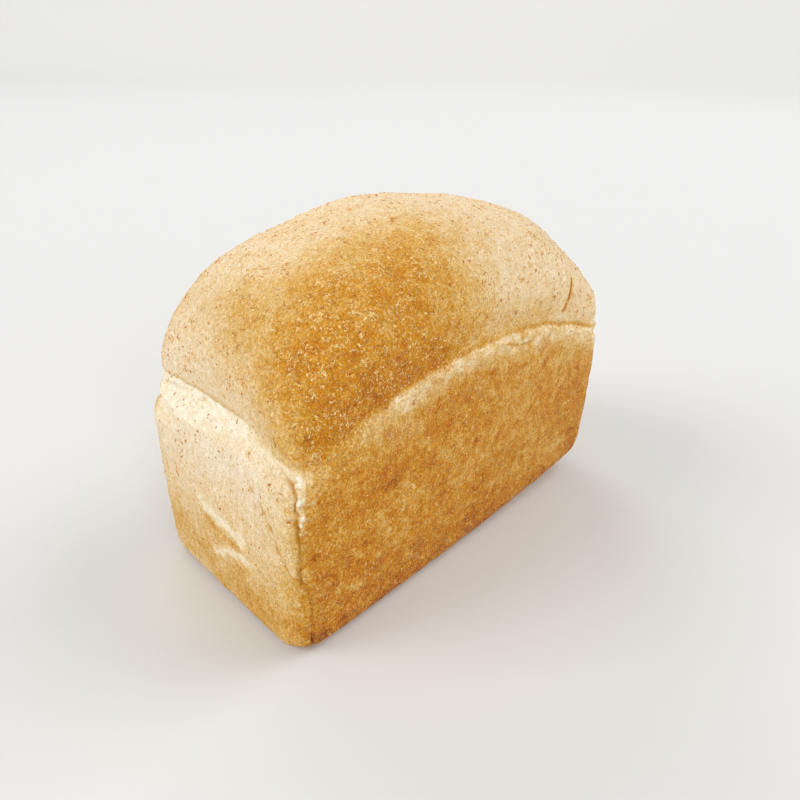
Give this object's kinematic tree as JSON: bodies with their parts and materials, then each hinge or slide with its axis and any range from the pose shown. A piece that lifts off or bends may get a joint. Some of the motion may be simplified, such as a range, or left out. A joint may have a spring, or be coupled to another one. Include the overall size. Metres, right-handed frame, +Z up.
{
  "type": "tin loaf",
  "caption": "Uncut wholemeal tin loaf with straight tin-shaped walls, a flat base, a torn band at the tin's rim and a rounded, domed crown.",
  "frame": {"origin": "middle of the loaf's footprint, on the flat base", "axes": "+X along the loaf, from the end wall that shows to the one that doesn't, +Y across it, away from the side wall that shows, +Z up"},
  "size_m": [0.1902, 0.0996, 0.1446],
  "materials": {
    "baked_crust": "matte golden-brown bread crust with bran flecks, paler on the near end wall and along the torn band"
  },
  "bodies": {
    "root": {"loaf": "baked_crust"}
  },
  "joints": []
}
